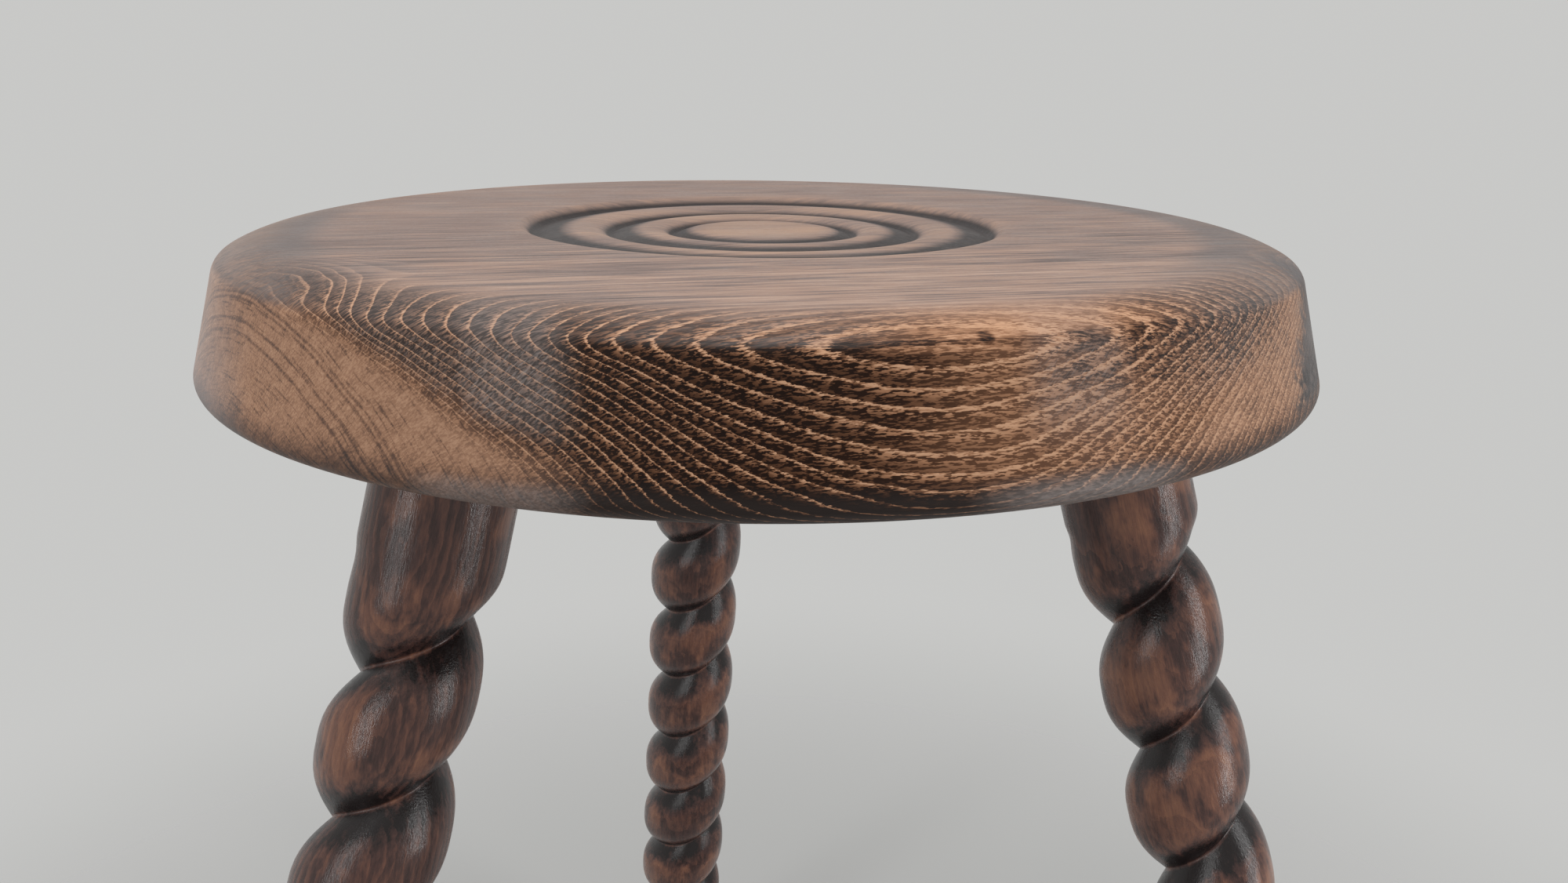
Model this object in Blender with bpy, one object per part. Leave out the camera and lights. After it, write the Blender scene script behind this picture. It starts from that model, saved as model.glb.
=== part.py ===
"""Tripod stool: a round turned seat carried by three splayed barley twist legs.

Metres, +Z up. The floor is z = 0 and the rear leg points along +Y.
"""
import math

import bmesh
import bpy
from mathutils import Vector

# Whole stool
STOOL_HEIGHT = 0.450
LEG_SPLAY_DEG = 16.5
LEG_CIRCLE_RADIUS = 0.096

# Seat
SEAT_RADIUS = 0.150
SEAT_THICKNESS = 0.035
RIM_FLARE_DEG = 15.0
CROWN_WIDTH = 0.014
CROWN_RADIUS = 0.030
TOP_EDGE_RADIUS = 0.0055
LOWER_EDGE_RADIUS = 0.0035

# Turned rings in the top: places as shares of the seat radius, in a shallow dish
RING_OUTER_EDGE = 0.454
RING_GROOVES = (0.425, 0.288, 0.172)
RING_DISC_EDGE = 0.118
RING_DEPTH = 0.0030
RING_BEAD_DROP = 0.0004
RING_DISH = 0.0018

# Legs
LEG_RADIUS = 0.0179
LEG_SWELL = 0.0022
TWIST_PITCH = 0.0377
TWIST_DEPTH = 0.0072
TWIST_SHARPNESS = 1.4
TWIST_STARTS_BELOW_SEAT = 0.0405
TWIST_ENDS_ABOVE_FLOOR = 0.034
TWIST_FADE = 0.007

# Joints
TENON_RADIUS = 0.0125
MORTISE_COVER = 0.0065
JOINT_CLEARANCE = 0.0003
TENON_END_GAP = 0.0010
TENON_CHAMFER = 0.0010

# Azimuth from the front towards the right, how far round the groove starts in turns, and the leg's
# own share of the pitch, because each groove was cut by hand
LEGS = {
    "leg_left": (-60.0, 0.5545, 0.997),
    "leg_right": (60.0, 0.1060, 1.050),
    "leg_rear": (180.0, 0.0930, 1.0),
}

# Facets
SEAT_SEGMENTS = 56
MORTISE_SEGMENTS = 24
LEG_SECTION_POINTS = 15
LEG_RINGS_PER_TURN = 12
LEG_SECTION_BIAS = 0.3

SPLAY = math.radians(LEG_SPLAY_DEG)
UNDERSIDE_HEIGHT = STOOL_HEIGHT - SEAT_THICKNESS
LEG_LENGTH = UNDERSIDE_HEIGHT / math.cos(SPLAY)
MORTISE_RADIUS = TENON_RADIUS + JOINT_CLEARANCE
MORTISE_DEPTH = (SEAT_THICKNESS - MORTISE_COVER - MORTISE_RADIUS * math.sin(SPLAY)) / math.cos(SPLAY)
TENON_LENGTH = MORTISE_DEPTH - TENON_END_GAP


def clear_scene():
    for old in list(bpy.data.objects):
        bpy.data.objects.remove(old, do_unlink=True)


def wood(name, colour, roughness):
    material = bpy.data.materials.new(name)
    material.use_nodes = True
    shader = material.node_tree.nodes["Principled BSDF"]
    shader.inputs["Base Color"].default_value = (*colour, 1.0)
    shader.inputs["Roughness"].default_value = roughness
    return material


def finish_object(name, mesh_data, material, parent):
    """Turn a bmesh into one named, smooth shaded object under the parent."""
    bmesh.ops.recalc_face_normals(mesh_data, faces=mesh_data.faces)
    mesh = bpy.data.meshes.new(name)
    mesh_data.to_mesh(mesh)
    mesh_data.free()
    if material:
        mesh.materials.append(material)
    mesh.set_sharp_from_angle(angle=math.radians(40.0))
    made = bpy.data.objects.new(name, mesh)
    bpy.context.scene.collection.objects.link(made)
    made.parent = parent
    return made


def skin(mesh_data, rings):
    """Close a stack of equal rings of points into a solid, with a flat cap at each end."""
    rows = [[mesh_data.verts.new(point) for point in ring] for ring in rings]
    count = len(rows[0])
    for upper, lower in zip(rows, rows[1:]):
        for i in range(count):
            j = (i + 1) % count
            mesh_data.faces.new((upper[i], lower[i], lower[j]))
            mesh_data.faces.new((upper[i], lower[j], upper[j]))
    mesh_data.faces.new(rows[0])
    mesh_data.faces.new(rows[-1])


def circle(radius, height, segments):
    turns = [2.0 * math.pi * i / segments for i in range(segments)]
    return [Vector((radius * math.cos(t), radius * math.sin(t), height)) for t in turns]


def arc(centre, radius, start, end, steps):
    """Points of an arc in the radius and height plane, angles measured up from the outward direction."""
    turns = [start + (end - start) * i / steps for i in range(steps + 1)]
    return [(centre[0] + radius * math.cos(t), centre[1] + radius * math.sin(t)) for t in turns]


def ring_profile():
    """Radius and height from the centre disc out over the beads and grooves to the flat top."""
    points = [(0.5 * RING_DISC_EDGE * SEAT_RADIUS, -RING_BEAD_DROP)]
    inner = RING_DISC_EDGE * SEAT_RADIUS
    points.append((inner, -RING_BEAD_DROP))
    for groove in reversed(RING_GROOVES):
        bottom = groove * SEAT_RADIUS
        points.append((0.45 * inner + 0.55 * bottom, -0.28 * RING_DEPTH - RING_BEAD_DROP))
        points.append((bottom, -RING_DEPTH))
        is_outermost = groove == RING_GROOVES[0]
        if not is_outermost:
            outer = RING_GROOVES[RING_GROOVES.index(groove) - 1] * SEAT_RADIUS
            points.append((0.90 * bottom + 0.10 * outer, -0.40 * RING_DEPTH - RING_BEAD_DROP))
            points.append((0.78 * bottom + 0.22 * outer, -RING_BEAD_DROP))
            inner = 0.68 * bottom + 0.32 * outer
            points.append((inner, -RING_BEAD_DROP))
    edge = RING_OUTER_EDGE * SEAT_RADIUS
    wall = edge - RING_GROOVES[0] * SEAT_RADIUS
    points.append((edge - 0.55 * wall, -0.75 * RING_DEPTH))
    points.append((edge - 0.25 * wall, -0.20 * RING_DEPTH))
    points.append((edge, 0.0))
    return [(radius, height - RING_DISH * (1.0 - (radius / edge) ** 2)) for radius, height in points]


def rim_profile():
    """Radius and height from the flat top over the crown, the edge and the flared side to the underside."""
    flare = math.radians(RIM_FLARE_DEG)
    crown_turn = math.asin(CROWN_WIDTH / CROWN_RADIUS)
    low_centre = (SEAT_RADIUS - LOWER_EDGE_RADIUS, LOWER_EDGE_RADIUS - SEAT_THICKNESS)
    side = low_centre[0] * math.cos(flare) + low_centre[1] * math.sin(flare) + LOWER_EDGE_RADIUS
    step = CROWN_RADIUS - TOP_EDGE_RADIUS
    edge_height = step * math.cos(crown_turn) - CROWN_RADIUS
    edge_radius = (side - TOP_EDGE_RADIUS - edge_height * math.sin(flare)) / math.cos(flare)
    crown_centre = (edge_radius - step * math.sin(crown_turn), -CROWN_RADIUS)
    upright = 0.5 * math.pi
    points = arc(crown_centre, CROWN_RADIUS, upright, upright - crown_turn, 3)
    points += arc((edge_radius, edge_height), TOP_EDGE_RADIUS, upright - crown_turn, flare, 4)[1:]
    points += arc(low_centre, LOWER_EDGE_RADIUS, flare, -upright, 4)
    return points


def make_seat(material, parent):
    solid = bmesh.new()
    profile = ring_profile() + rim_profile()
    skin(solid, [circle(radius, height, SEAT_SEGMENTS) for radius, height in profile])
    seat = finish_object("seat", solid, material, parent)
    seat.location = (0.0, 0.0, STOOL_HEIGHT)
    return seat


def place_on_leg_axis(thing, azimuth_deg):
    """Put an object's origin where the leg axis meets the underside, with its Z up along the leg."""
    azimuth = math.radians(azimuth_deg)
    out = Vector((math.sin(azimuth), -math.cos(azimuth), 0.0))
    thing.location = out * LEG_CIRCLE_RADIUS + Vector((0.0, 0.0, UNDERSIDE_HEIGHT))
    thing.rotation_euler = (-SPLAY, 0.0, azimuth)


def bore_mortise(seat, name, azimuth_deg, parent):
    """Bore a blind round mortise along the leg axis into the underside of the seat."""
    cutter = bmesh.new()
    mouth = -2.0 * MORTISE_RADIUS
    skin(cutter, [circle(MORTISE_RADIUS, z, MORTISE_SEGMENTS) for z in (MORTISE_DEPTH, mouth)])
    bore = finish_object(name, cutter, None, parent)
    place_on_leg_axis(bore, azimuth_deg)
    bore.hide_render = True
    bore.display_type = "WIRE"
    cut = seat.modifiers.new(name, "BOOLEAN")
    cut.operation = "DIFFERENCE"
    cut.solver = "EXACT"
    cut.object = bore


def smooth_step(t):
    t = min(1.0, max(0.0, t))
    return t * t * (3.0 - 2.0 * t)


def leg_radius(below, turn):
    """Leg radius at a distance below the underside and a place in the turn, 0 at the groove bottom."""
    swollen = LEG_RADIUS + LEG_SWELL * smooth_step(below / LEG_LENGTH)
    fade_in = smooth_step((below - TWIST_STARTS_BELOW_SEAT) / TWIST_FADE)
    fade_out = smooth_step((LEG_LENGTH - TWIST_ENDS_ABOVE_FLOOR - below) / TWIST_FADE)
    from_groove = abs(math.sin(math.pi * turn))
    return swollen - TWIST_DEPTH * fade_in * fade_out * (1.0 - from_groove) ** TWIST_SHARPNESS


def make_leg(name, azimuth_deg, groove_start, pitch_share, material, parent):
    """Barley twist leg: each section is turned on from the last, so the mesh lines run along the groove."""
    spread = [i / LEG_SECTION_POINTS for i in range(LEG_SECTION_POINTS)]
    places = [t - LEG_SECTION_BIAS * math.sin(2.0 * math.pi * t) / (2.0 * math.pi) for t in spread]
    twist_start = TWIST_STARTS_BELOW_SEAT
    twist_end = LEG_LENGTH - TWIST_ENDS_ABOVE_FLOOR
    pitch = TWIST_PITCH * pitch_share
    level = math.tan(SPLAY)

    def section(below, levelled=0.0, radius=None):
        """One ring of points; levelled = 1 lays it parallel to the floor instead of square to the leg."""
        turned = min(max(below, twist_start), twist_end) / pitch
        ring = []
        for place in places:
            angle = 2.0 * math.pi * (groove_start + place - turned)
            reach = radius or leg_radius(below, place)
            height = levelled * reach * math.sin(angle) * level - below
            ring.append(Vector((reach * math.cos(angle), reach * math.sin(angle), height)))
        return ring

    shoulder = JOINT_CLEARANCE / math.cos(SPLAY)
    squared = 1.5 * LEG_RADIUS * level + shoulder
    steps = max(2, round((twist_end - twist_start) / pitch * LEG_RINGS_PER_TURN))
    twisted = [twist_start + (twist_end - twist_start) * i / steps for i in range(steps + 1)]
    rings = [section(-TENON_LENGTH, radius=TENON_RADIUS - TENON_CHAMFER)]
    rings.append(section(TENON_CHAMFER - TENON_LENGTH, radius=TENON_RADIUS))
    rings.append(section(shoulder, 1.0, TENON_RADIUS))
    rings.append(section(shoulder, 1.0))
    rings.append(section(squared))
    rings += [section(below) for below in twisted]
    rings.append(section(LEG_LENGTH - squared))
    rings.append(section(LEG_LENGTH, 1.0))
    solid = bmesh.new()
    skin(solid, rings)
    leg = finish_object(name, solid, material, parent)
    place_on_leg_axis(leg, azimuth_deg)


def centre_over_origin(frame):
    """Slide the whole stool so the bottom centre of its bounding box is the origin."""
    bpy.context.view_layer.update()
    corners = []
    for piece in frame.children:
        if not piece.hide_render:
            corners += [piece.matrix_world @ vertex.co for vertex in piece.data.vertices]
    for axis in (0, 1):
        values = [corner[axis] for corner in corners]
        frame.location[axis] -= 0.5 * (min(values) + max(values))


clear_scene()
stool_frame = bpy.data.objects.new("stool_frame", None)
bpy.context.scene.collection.objects.link(stool_frame)
seat_wood = wood("seat_wood", (0.23, 0.12, 0.07), 0.45)
leg_wood = wood("leg_wood", (0.12, 0.055, 0.04), 0.35)
stool_seat = make_seat(seat_wood, stool_frame)
for leg_name, (leg_azimuth, leg_groove, leg_pitch_share) in LEGS.items():
    bore_mortise(stool_seat, leg_name.replace("leg", "mortise"), leg_azimuth, stool_frame)
    make_leg(leg_name, leg_azimuth, leg_groove, leg_pitch_share, leg_wood, stool_frame)
centre_over_origin(stool_frame)
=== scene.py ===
# %% [markdown]
# # A turned tripod stool with barley twist legs
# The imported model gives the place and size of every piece: one seat and three legs.
# This script keeps those places and gives each piece a finer surface and a wood finish.

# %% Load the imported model
import math

import bpy
from mathutils import Matrix, Vector


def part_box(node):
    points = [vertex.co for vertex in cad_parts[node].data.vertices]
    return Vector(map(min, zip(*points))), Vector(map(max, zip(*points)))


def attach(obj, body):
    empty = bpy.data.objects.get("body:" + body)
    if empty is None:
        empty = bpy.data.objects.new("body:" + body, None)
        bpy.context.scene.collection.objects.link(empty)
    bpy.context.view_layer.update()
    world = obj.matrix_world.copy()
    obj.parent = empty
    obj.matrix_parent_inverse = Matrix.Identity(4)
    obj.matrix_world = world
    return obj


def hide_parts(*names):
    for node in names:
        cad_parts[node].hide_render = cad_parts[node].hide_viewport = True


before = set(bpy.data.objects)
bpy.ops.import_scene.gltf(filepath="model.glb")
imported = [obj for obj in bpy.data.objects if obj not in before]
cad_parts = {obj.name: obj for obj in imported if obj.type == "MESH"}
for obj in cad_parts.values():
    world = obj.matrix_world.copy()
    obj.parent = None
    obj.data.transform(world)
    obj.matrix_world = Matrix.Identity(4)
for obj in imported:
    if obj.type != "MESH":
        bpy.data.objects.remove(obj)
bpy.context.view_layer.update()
seat_low, seat_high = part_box("seat")
SEAT_CENTRE = Vector(((seat_low.x + seat_high.x) / 2, (seat_low.y + seat_high.y) / 2, 0.0))
SEAT_TOP = seat_high.z
SEAT_UNDERSIDE = seat_low.z
print("seat axis", SEAT_CENTRE[:2], "top", SEAT_TOP, "underside", SEAT_UNDERSIDE)

# %% [markdown]
# The camera stands close and a little above the seat, so the top is seen at a grazing angle.
# Its place was solved from the seat's outline and the notches of the legs: distance from the seat's
# axis, height above the top, and the turn, tip and roll of the lens.

# %% Camera
FOCAL_PIXELS, IMAGE_WIDTH = 1554.0, 2000.0
SENSOR_WIDTH_MM = 36.0
NEAREST_SEEN = 0.01
CAMERA_DISTANCE = 0.3483
CAMERA_ABOVE_TOP = 0.0425
CAMERA_AZIMUTH = math.radians(-11.79)
CAMERA_TURN = math.radians(1.143)
CAMERA_TIP = math.radians(17.17)
CAMERA_ROLL = math.radians(0.85)


def put_in_scene(name, data):
    made = bpy.data.objects.new(name, data)
    bpy.context.scene.collection.objects.link(made)
    return made


def make_camera():
    swing = Matrix.Rotation(CAMERA_AZIMUTH, 3, "Z")
    ahead = swing @ Vector((math.sin(CAMERA_TURN) * math.cos(CAMERA_TIP),
                            math.cos(CAMERA_TURN) * math.cos(CAMERA_TIP), -math.sin(CAMERA_TIP)))
    level = swing @ Vector((math.cos(CAMERA_TURN), -math.sin(CAMERA_TURN), 0.0))
    rise = level.cross(ahead)
    right = math.cos(CAMERA_ROLL) * level + math.sin(CAMERA_ROLL) * rise
    up = math.cos(CAMERA_ROLL) * rise - math.sin(CAMERA_ROLL) * level
    data = bpy.data.cameras.new("camera")
    data.sensor_width = SENSOR_WIDTH_MM
    data.lens = FOCAL_PIXELS / IMAGE_WIDTH * SENSOR_WIDTH_MM
    data.clip_start = NEAREST_SEEN
    camera = put_in_scene("camera", data)
    turned = Matrix((right, up, -ahead)).transposed().to_4x4()
    place = SEAT_CENTRE + swing @ Vector((0.0, -CAMERA_DISTANCE, 0.0))
    place.z = SEAT_TOP + CAMERA_ABOVE_TOP
    camera.matrix_world = Matrix.Translation(place) @ turned
    bpy.context.scene.camera = camera
    return camera


stool_camera = make_camera()
print("camera at", [round(v, 4) for v in stool_camera.location], "lens", round(stool_camera.data.lens, 2))

# %% [markdown]
# Every finish below is a tree of nodes, and so is the shape of the legs. Such a tree is hard to read
# node by node, so a node's output is wrapped as an amount here: plus, minus, times and divide between
# amounts add the Math nodes, and each formula reads like the rule it stands for.

# %% Amounts
class Amount:
    """A value that changes over a surface: one output of a node. Arithmetic on it adds Math nodes."""

    def __init__(self, socket):
        self.socket = socket
        self.tree = socket.id_data

    def __add__(self, other):
        return work("ADD", self, other)

    def __sub__(self, other):
        return work("SUBTRACT", self, other)

    def __rsub__(self, other):
        return work("SUBTRACT", other, self)

    def __mul__(self, other):
        return work("MULTIPLY", self, other)

    def __truediv__(self, other):
        return work("DIVIDE", self, other)

    __radd__ = __add__
    __rmul__ = __mul__


def add(tree, kind, settings=None, **inputs):
    """Add a node. Settings are its properties; inputs are sockets by name, or by number as i0, i1, ..."""
    made = tree.nodes.new(kind)
    for name, value in (settings or {}).items():
        setattr(made, name, value)
    for name, value in inputs.items():
        by_number = name[0] == "i" and name[1:].isdigit()
        socket = made.inputs[int(name[1:])] if by_number else made.inputs[name.replace("_", " ")]
        if isinstance(value, Amount):
            tree.links.new(value.socket, socket)
        else:
            socket.default_value = value
    return made


def work(operation, *values):
    """One Math node. Each value is an amount or a plain number, and at least one is an amount."""
    tree = next(value.tree for value in values if isinstance(value, Amount))
    inputs = {"i" + str(index): value for index, value in enumerate(values)}
    return Amount(add(tree, "ShaderNodeMath", {"operation": operation}, **inputs).outputs[0])


print("amounts ready")

# %% [markdown]
# Where one part of a finish ends and the next begins there is rarely a hard border. So a few small
# steps do most of the work below: the smaller of two amounts, the larger of two, and a straight or a
# smooth step, which turns any measure into a mask that rises from 0 to 1.

# %% Limits and steps
def least(first, second):
    return work("MINIMUM", first, second)


def most(first, second):
    return work("MAXIMUM", first, second)


def straight(value, low, high, to_low=0.0, to_high=1.0, settings=None):
    """A straight step from to_low at low to to_high at high. Low may be the larger of the two."""
    made = add(value.tree, "ShaderNodeMapRange", settings, Value=value, From_Min=low, From_Max=high,
               To_Min=to_low, To_Max=to_high)
    return Amount(made.outputs[0])


def ease(value, low, high, to_low=0.0, to_high=1.0):
    """The same step with soft ends."""
    return straight(value, low, high, to_low, to_high, {"interpolation_type": "SMOOTHSTEP"})


print("limits and steps ready")

# %% [markdown]
# A pattern on wood needs to know where a point lies: how far along the grain, how deep in the log.
# These helpers take such a place apart, move and stretch it, and measure from it. Noise pulled long
# one way is the start of most wood grain.

# %% Places
def split(place):
    return [Amount(part) for part in add(place.tree, "ShaderNodeSeparateXYZ", i0=place).outputs]


def join(x, y, z=0.0):
    return Amount(add(x.tree, "ShaderNodeCombineXYZ", X=x, Y=y, Z=z).outputs[0])


def work_place(operation, place, other, output="Vector"):
    made = add(place.tree, "ShaderNodeVectorMath", {"operation": operation}, i0=place, i1=other)
    return Amount(made.outputs[output])


def move(place, by):
    return work_place("ADD", place, by)


def stretch(place, by):
    return work_place("MULTIPLY", place, by)


def distance_from(place, centre):
    return work_place("DISTANCE", place, centre, "Value")


def noise(place, scale, detail, roughness=0.5, output="Fac"):
    made = add(place.tree, "ShaderNodeTexNoise", Vector=place, Scale=scale, Detail=detail,
               Roughness=roughness)
    return Amount(made.outputs[output])


print("places ready")

# %% [markdown]
# A node group is a tree with named inputs and outputs, made once and placed wherever it is needed.
# Both the shared finishes and the twist of the legs are groups, so one helper opens either kind.

# %% Node groups
def feed(amount, socket):
    amount.tree.links.new(amount.socket, socket)


def open_tree(name, kind, inputs, outputs):
    """A new node group with inputs {name: (socket kind, default)} and outputs {name: socket kind}."""
    tree = bpy.data.node_groups.new(name, kind)
    for label, (socket_kind, default) in inputs.items():
        socket = tree.interface.new_socket(label, in_out="INPUT", socket_type=socket_kind)
        if default is not None:
            socket.default_value = default
    for label, socket_kind in outputs.items():
        tree.interface.new_socket(label, in_out="OUTPUT", socket_type=socket_kind)
    entry = tree.nodes.new("NodeGroupInput")
    given = {label: Amount(entry.outputs[label]) for label in inputs}
    return tree, given, tree.nodes.new("NodeGroupOutput")


print("group maker ready")

# %% [markdown]
# Seat and legs share three effects, so each is a node group that both woods place with their own
# values. Pores are short dashes along the grain that caught the stain: noise, pulled long one way.
# Stain drift is the slow, cloudy change of tone where more or less stain soaked in. Hand wax is the
# uneven polish: the shine changes a little from place to place and fine scuffs break it.

# %% Shared finish groups
NUMBER, PLACE = "NodeSocketFloat", "NodeSocketVector"
PATCHES_PER_METRE, SCUFFS_PER_METRE = 55.0, 700.0
SCUFF_SHARE = 0.35


def make_pores():
    tree, given, out = open_tree("wood_pores", "ShaderNodeTree", {
        "Place": (PLACE, None), "Long": (NUMBER, 900.0), "Fine": (NUMBER, 4200.0)}, {"Dash": NUMBER})
    pulled = stretch(given["Place"], join(given["Long"], given["Fine"], given["Fine"]))
    feed(ease(noise(pulled, scale=1.0, detail=2.0, roughness=0.6), 0.30, 0.70), out.inputs["Dash"])
    return tree


def make_stain_drift():
    tree, given, out = open_tree("stain_drift", "ShaderNodeTree", {
        "Place": (PLACE, None), "Along": (NUMBER, 14.0), "Across": (NUMBER, 45.0)}, {"Tone": NUMBER})
    pulled = stretch(given["Place"], join(given["Along"], given["Across"], given["Across"]))
    feed(ease(noise(pulled, scale=1.0, detail=4.0, roughness=0.55), 0.25, 0.75), out.inputs["Tone"])
    return tree


def make_hand_wax():
    tree, given, out = open_tree("hand_wax", "ShaderNodeTree", {
        "Place": (PLACE, None), "Dull": (NUMBER, 0.5), "Bright": (NUMBER, 0.3)}, {"Roughness": NUMBER})
    patch = noise(given["Place"], scale=PATCHES_PER_METRE, detail=3.0)
    scuff = noise(given["Place"], scale=SCUFFS_PER_METRE, detail=2.0)
    dullness = ease(scuff * SCUFF_SHARE + patch * (1.0 - SCUFF_SHARE), 0.32, 0.68)
    feed(straight(dullness, 0.0, 1.0, given["Bright"], given["Dull"]), out.inputs["Roughness"])
    return tree


PORES, STAIN_DRIFT, HAND_WAX = make_pores(), make_stain_drift(), make_hand_wax()


def put_group(group, place, **values):
    made = add(place.tree, "ShaderNodeGroup", {"node_tree": group}, Place=place, **values)
    return Amount(made.outputs[0])


def pores(place, long, fine):
    return put_group(PORES, place, Long=long, Fine=fine)


def stain_drift(place, along, across):
    return put_group(STAIN_DRIFT, place, Along=along, Across=across)


def hand_wax(place, dull, bright):
    return put_group(HAND_WAX, place, Dull=dull, Bright=bright)


print("finish groups", PORES.name, STAIN_DRIFT.name, HAND_WAX.name)

# %% [markdown]
# The top of the seat is turned with a centre disc, two beads and three grooves, all in a shallow
# dish. Each bead is half a sine wave, pushed towards its inner groove by a power, because the real
# beads rise quickly from the inside and fall slowly to the outside. The function also says how dark
# each radius is, stain left in the grooves together with painted shade, so that the finish can fill the
# grooves.

# %% Turned rings
GROOVES = (0.0258, 0.0432, 0.06375)
DISC_EDGE, RING_EDGE = 0.0177, 0.0681
GROOVE_DEPTH, BEAD_DROP, DISH = 0.0030, 0.0004, 0.0018
BEAD_LEAN = 0.66
DISC_ROUND, BEAD_ROUND, OUTER_ROUND = 0.8, 0.75, 0.9
GROOVE_DARK_REACH, GROOVE_DARK_FALL = 1.6, 1.6


def ring_relief(radius):
    """Height of the turned beads and grooves before their dish, and the share of dark there: stain and
    painted shade.
    """
    rise = GROOVE_DEPTH - BEAD_DROP
    if radius <= DISC_EDGE:
        return -BEAD_DROP, 0.0
    if radius <= GROOVES[0]:
        level = math.sin(0.5 * math.pi * (GROOVES[0] - radius) / (GROOVES[0] - DISC_EDGE)) ** DISC_ROUND
        return rise * level - GROOVE_DEPTH, min(1.0, GROOVE_DARK_REACH * (1.0 - level))
    for inner_groove, outer_groove in zip(GROOVES, GROOVES[1:]):
        if radius <= outer_groove:
            share = ((radius - inner_groove) / (outer_groove - inner_groove)) ** BEAD_LEAN
            level = math.sin(math.pi * share) ** BEAD_ROUND
            inside = share < 0.5
            groove_dark = (1.0 - level) ** GROOVE_DARK_FALL if inside else min(1.0, GROOVE_DARK_REACH * (1.0 - level))
            return rise * level - GROOVE_DEPTH, groove_dark
    level = math.sin(0.5 * math.pi * (radius - GROOVES[-1]) / (RING_EDGE - GROOVES[-1])) ** OUTER_ROUND
    return GROOVE_DEPTH * (level - 1.0), (1.0 - level) ** GROOVE_DARK_FALL


def dish_depth(radius):
    return DISH * (1.0 - (radius / RING_EDGE) ** 2)


print("middle of the disc lies", round(1000.0 * (BEAD_DROP + DISH), 2), "mm below the top")

# %% [markdown]
# The rim is flared: it leans outwards to a small lower round. Above, the flat top rolls over a broad
# crown into a soft edge. All of these are arcs and one straight side that meet without a corner, so a
# few radii and one angle give every point.

# %% Rim
SEAT_RADIUS = 0.1499
THICKNESS = SEAT_TOP - SEAT_UNDERSIDE
RIM_FLARE = math.radians(15.0)
CROWN_WIDTH, CROWN_RADIUS = 0.014, 0.030
TOP_EDGE, LOWER_EDGE = 0.0055, 0.0035
CROWN_STEPS, EDGE_STEPS, SIDE_STEPS, LOWER_STEPS = 10, 10, 14, 12


def arc(centre, radius, start, end, steps):
    turns = [start + (end - start) * i / steps for i in range(steps + 1)]
    return [(centre[0] + radius * math.cos(t), centre[1] + radius * math.sin(t)) for t in turns]


def rim_points():
    """Crown, top edge, flared side and lower round, as (radius, height from the top)."""
    crown_turn = math.asin(CROWN_WIDTH / CROWN_RADIUS)
    low = (SEAT_RADIUS - LOWER_EDGE, LOWER_EDGE - THICKNESS)
    side = low[0] * math.cos(RIM_FLARE) + low[1] * math.sin(RIM_FLARE) + LOWER_EDGE
    step = CROWN_RADIUS - TOP_EDGE
    edge_z = step * math.cos(crown_turn) - CROWN_RADIUS
    edge_r = (side - TOP_EDGE - edge_z * math.sin(RIM_FLARE)) / math.cos(RIM_FLARE)
    upright = 0.5 * math.pi
    crown = arc((edge_r - step * math.sin(crown_turn), -CROWN_RADIUS), CROWN_RADIUS,
                upright, upright - crown_turn, CROWN_STEPS)
    edge = arc((edge_r, edge_z), TOP_EDGE, upright - crown_turn, RIM_FLARE, EDGE_STEPS)
    lower = arc(low, LOWER_EDGE, RIM_FLARE, -upright, LOWER_STEPS)
    (r0, z0), (r1, z1) = edge[-1], lower[0]
    shares = [i / SIDE_STEPS for i in range(1, SIDE_STEPS)]
    side_points = [(r0 + (r1 - r0) * share, z0 + (z1 - z0) * share) for share in shares]
    return crown, edge[1:], side_points, lower


print("flat top ends at radius", round(rim_points()[0][0][0], 4))

# %% [markdown]
# The whole profile runs from the middle of the top, over the rim, to the underside. Each point also
# carries two marks for the finish: hollow is the share of dark in the grooves, stain and painted shade
# together, and face_up falls from 1 on the flat top, over the crown and the edge, to 0 on the side.
# By face_up the finish turns the pale top into the darker rim, with painted shade over the crown and edge.

# %% Seat profile
RING_STEPS, FLAT_STEPS, UNDER_STEPS = 84, 12, 24
CROWN_FACING, EDGE_FACING = 0.75, 0.35
FACING_FADE = 0.015


def seat_profile():
    """Points from the middle of the top to the underside: (radius, height, hollow, face up)."""
    points = []
    for i in range(1, RING_STEPS + 1):
        radius = RING_EDGE * i / RING_STEPS
        height, groove_dark = ring_relief(radius)
        points.append((radius, height - dish_depth(radius), groove_dark, 1.0))
    crown, edge, side, lower = rim_points()
    flat_end = crown[0][0]
    for i in range(1, FLAT_STEPS):
        radius = RING_EDGE + (flat_end - RING_EDGE) * i / FLAT_STEPS
        inside = min(1.0, (flat_end - radius) / FACING_FADE)
        points.append((radius, 0.0, 0.0, CROWN_FACING + (1.0 - CROWN_FACING) * inside))
    fall = CROWN_FACING - EDGE_FACING
    points += [(r, z, 0.0, CROWN_FACING - fall * i / len(crown)) for i, (r, z) in enumerate(crown)]
    points += [(r, z, 0.0, EDGE_FACING * (1.0 - (i + 1) / len(edge))) for i, (r, z) in enumerate(edge)]
    points += [(r, z, 0.0, 0.0) for r, z in side + lower]
    under_edge = lower[-1][0]
    points += [(under_edge * (1.0 - i / UNDER_STEPS), -THICKNESS, 0.0, 0.0) for i in range(1, UNDER_STEPS)]
    return points


print("profile points", len(seat_profile()))

# %% [markdown]
# The seat is one plank turned on a lathe. A lathe makes a profile, so the mesh is that profile swept
# round the axis, with a point in the middle of each face to close it. The two marks become
# attributes of the mesh, which the wood reads to change from the top's finish to the rim's.

# %% Seat mesh
SEAT_SEGMENTS = 224
FULL_TURN = 2.0 * math.pi


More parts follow.
